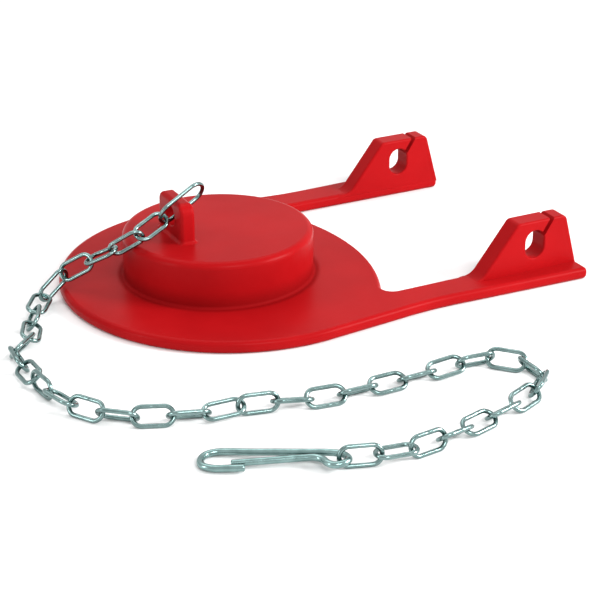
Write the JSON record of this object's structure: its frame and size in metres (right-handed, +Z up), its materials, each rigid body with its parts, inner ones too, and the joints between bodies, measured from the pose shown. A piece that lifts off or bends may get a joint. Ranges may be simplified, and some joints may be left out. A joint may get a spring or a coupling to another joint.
{
  "type": "toilet flapper",
  "caption": "Red rubber toilet flapper with a raised cap, hinge ears and a wire link lift chain ending in an open clip.",
  "frame": {"origin": "middle of the whole footprint, on the surface that the part lies on", "axes": "+X towards the hinge ears, +Y away from the side where the chain lies, +Z up out of the cap"},
  "size_m": [0.1426, 0.1426, 0.0278],
  "materials": {
    "rubber": "glossy",
    "chain_steel": "bright wire"
  },
  "bodies": {
    "root": {"flapper_body": "rubber", "chain_end_link": "chain_steel", "chain_link_01": "chain_steel", "chain_link_02": "chain_steel", "chain_link_03": "chain_steel", "chain_link_04": "chain_steel", "chain_link_05": "chain_steel", "chain_link_06": "chain_steel", "chain_link_07": "chain_steel", "chain_link_08": "chain_steel", "chain_link_09": "chain_steel", "chain_link_10": "chain_steel", "chain_link_11": "chain_steel", "chain_link_12": "chain_steel", "chain_link_13": "chain_steel", "chain_link_14": "chain_steel", "chain_link_15": "chain_steel", "chain_link_16": "chain_steel", "chain_link_17": "chain_steel", "chain_link_18": "chain_steel", "chain_link_19": "chain_steel", "chain_link_20": "chain_steel", "chain_link_21": "chain_steel", "chain_link_22": "chain_steel", "chain_link_23": "chain_steel", "chain_link_24": "chain_steel", "chain_link_25": "chain_steel", "chain_link_26": "chain_steel", "chain_link_27": "chain_steel", "chain_link_28": "chain_steel", "chain_link_29": "chain_steel", "chain_link_30": "chain_steel", "chain_link_31": "chain_steel", "chain_link_32": "chain_steel", "chain_link_33": "chain_steel", "chain_link_34": "chain_steel", "chain_link_35": "chain_steel", "chain_link_36": "chain_steel", "chain_clip": "chain_steel"}
  },
  "joints": []
}
